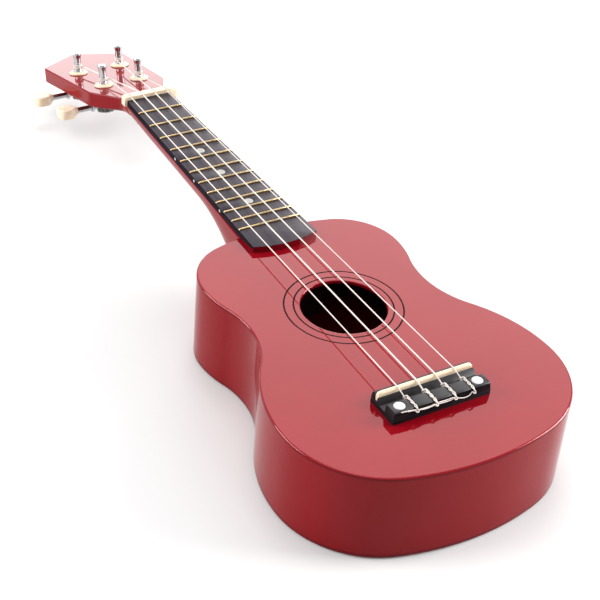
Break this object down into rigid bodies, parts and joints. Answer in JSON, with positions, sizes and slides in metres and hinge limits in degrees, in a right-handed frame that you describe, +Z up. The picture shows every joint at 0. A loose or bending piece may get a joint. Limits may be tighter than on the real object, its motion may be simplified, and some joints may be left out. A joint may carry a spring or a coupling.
{
  "type": "soprano ukulele",
  "caption": "Small figure-eight lute with a red sound box, black fingerboard, nylon strings tied to the bridge and worm-geared tuners that turn.",
  "frame": {"origin": "on the floor under the middle of the whole instrument's box, which is the plane of the back plate", "axes": "+Y from the tail to the tip of the headstock, +X to the treble side, +Z up through the soundboard"},
  "size_m": [0.1778, 0.5414, 0.0673],
  "materials": {
    "red_lacquer": "gloss",
    "side_lacquer": "gloss",
    "bare_wood": "matte",
    "rosette_black": "gloss",
    "board_black": "satin",
    "fret_brass": "polished",
    "pearl": "gloss",
    "cream_plastic": "gloss",
    "bridge_black": "satin",
    "screw_steel": "polished",
    "cap_white": "gloss",
    "nylon": "satin",
    "plate_chrome": "polished",
    "shaft_chrome": "polished",
    "post_chrome": "polished",
    "gear_steel": "satin"
  },
  "bodies": {
    "ukulele": {"soundboard": "red_lacquer", "back_plate": "red_lacquer", "rib_bass": "side_lacquer", "rib_treble": "side_lacquer", "lining_top": "bare_wood", "lining_back": "bare_wood", "neck_block": "bare_wood", "tail_block": "bare_wood", "top_braces": "bare_wood", "back_braces": "bare_wood", "bridge_plate": "bare_wood", "rosette_inner": "rosette_black", "rosette_outer": "rosette_black", "neck": "side_lacquer", "neck_dowels": "bare_wood", "fingerboard": "board_black", "frets": "fret_brass", "position_dots": "pearl", "side_dots": "pearl", "nut": "cream_plastic", "bridge": "bridge_black", "saddle": "cream_plastic", "bridge_bolts": "screw_steel", "bridge_nuts": "screw_steel", "bridge_caps": "cap_white", "bushings": "cream_plastic", "plate_screws": "screw_steel", "string_g": "nylon", "string_c": "nylon", "string_e": "nylon", "string_a": "nylon", "tuner_plate_g": "plate_chrome", "tuner_plate_c": "plate_chrome", "tuner_plate_e": "plate_chrome", "tuner_plate_a": "plate_chrome"},
    "key_g": {"worm_shaft_g": "shaft_chrome", "button_g": "cream_plastic"},
    "roller_g": {"post_g": "post_chrome", "gear_g": "gear_steel", "gear_screw_g": "screw_steel", "winding_g": "nylon"},
    "key_c": {"worm_shaft_c": "shaft_chrome", "button_c": "cream_plastic"},
    "roller_c": {"post_c": "post_chrome", "gear_c": "gear_steel", "gear_screw_c": "screw_steel", "winding_c": "nylon"},
    "key_e": {"worm_shaft_e": "shaft_chrome", "button_e": "cream_plastic"},
    "roller_e": {"post_e": "post_chrome", "gear_e": "gear_steel", "gear_screw_e": "screw_steel", "winding_e": "nylon"},
    "key_a": {"worm_shaft_a": "shaft_chrome", "button_a": "cream_plastic"},
    "roller_a": {"post_a": "post_chrome", "gear_a": "gear_steel", "gear_screw_a": "screw_steel", "winding_a": "nylon"}
  },
  "joints": [
    {"name": "key_g_turn", "type": "hinge", "parent": "ukulele", "child": "key_g", "pos_m": [-0.014, 0.18749, 0.03211], "axis": [1, 0, 0], "continuous": true},
    {"name": "roller_g_turn", "type": "hinge", "parent": "ukulele", "child": "roller_g", "pos_m": [-0.014, 0.18303, 0.05059], "axis": [0, 0.225, 0.9744], "continuous": true},
    {"name": "key_c_turn", "type": "hinge", "parent": "ukulele", "child": "key_c", "pos_m": [-0.0165, 0.22647, 0.02312], "axis": [1, 0, 0], "continuous": true},
    {"name": "roller_c_turn", "type": "hinge", "parent": "ukulele", "child": "roller_c", "pos_m": [-0.0165, 0.22201, 0.04159], "axis": [0, 0.225, 0.9744], "continuous": true},
    {"name": "key_e_turn", "type": "hinge", "parent": "ukulele", "child": "key_e", "pos_m": [0.0165, 0.22647, 0.02312], "axis": [1, 0, 0], "continuous": true},
    {"name": "roller_e_turn", "type": "hinge", "parent": "ukulele", "child": "roller_e", "pos_m": [0.0165, 0.22201, 0.04159], "axis": [0, 0.225, 0.9744], "continuous": true},
    {"name": "key_a_turn", "type": "hinge", "parent": "ukulele", "child": "key_a", "pos_m": [0.014, 0.18749, 0.03211], "axis": [1, 0, 0], "continuous": true},
    {"name": "roller_a_turn", "type": "hinge", "parent": "ukulele", "child": "roller_a", "pos_m": [0.014, 0.18303, 0.05059], "axis": [0, 0.225, 0.9744], "continuous": true}
  ],
  "couplings": [
    {"joint": "roller_g_turn", "follows": "key_g_turn", "ratio": -0.071429},
    {"joint": "roller_c_turn", "follows": "key_c_turn", "ratio": -0.071429},
    {"joint": "roller_e_turn", "follows": "key_e_turn", "ratio": 0.071429},
    {"joint": "roller_a_turn", "follows": "key_a_turn", "ratio": 0.071429}
  ]
}
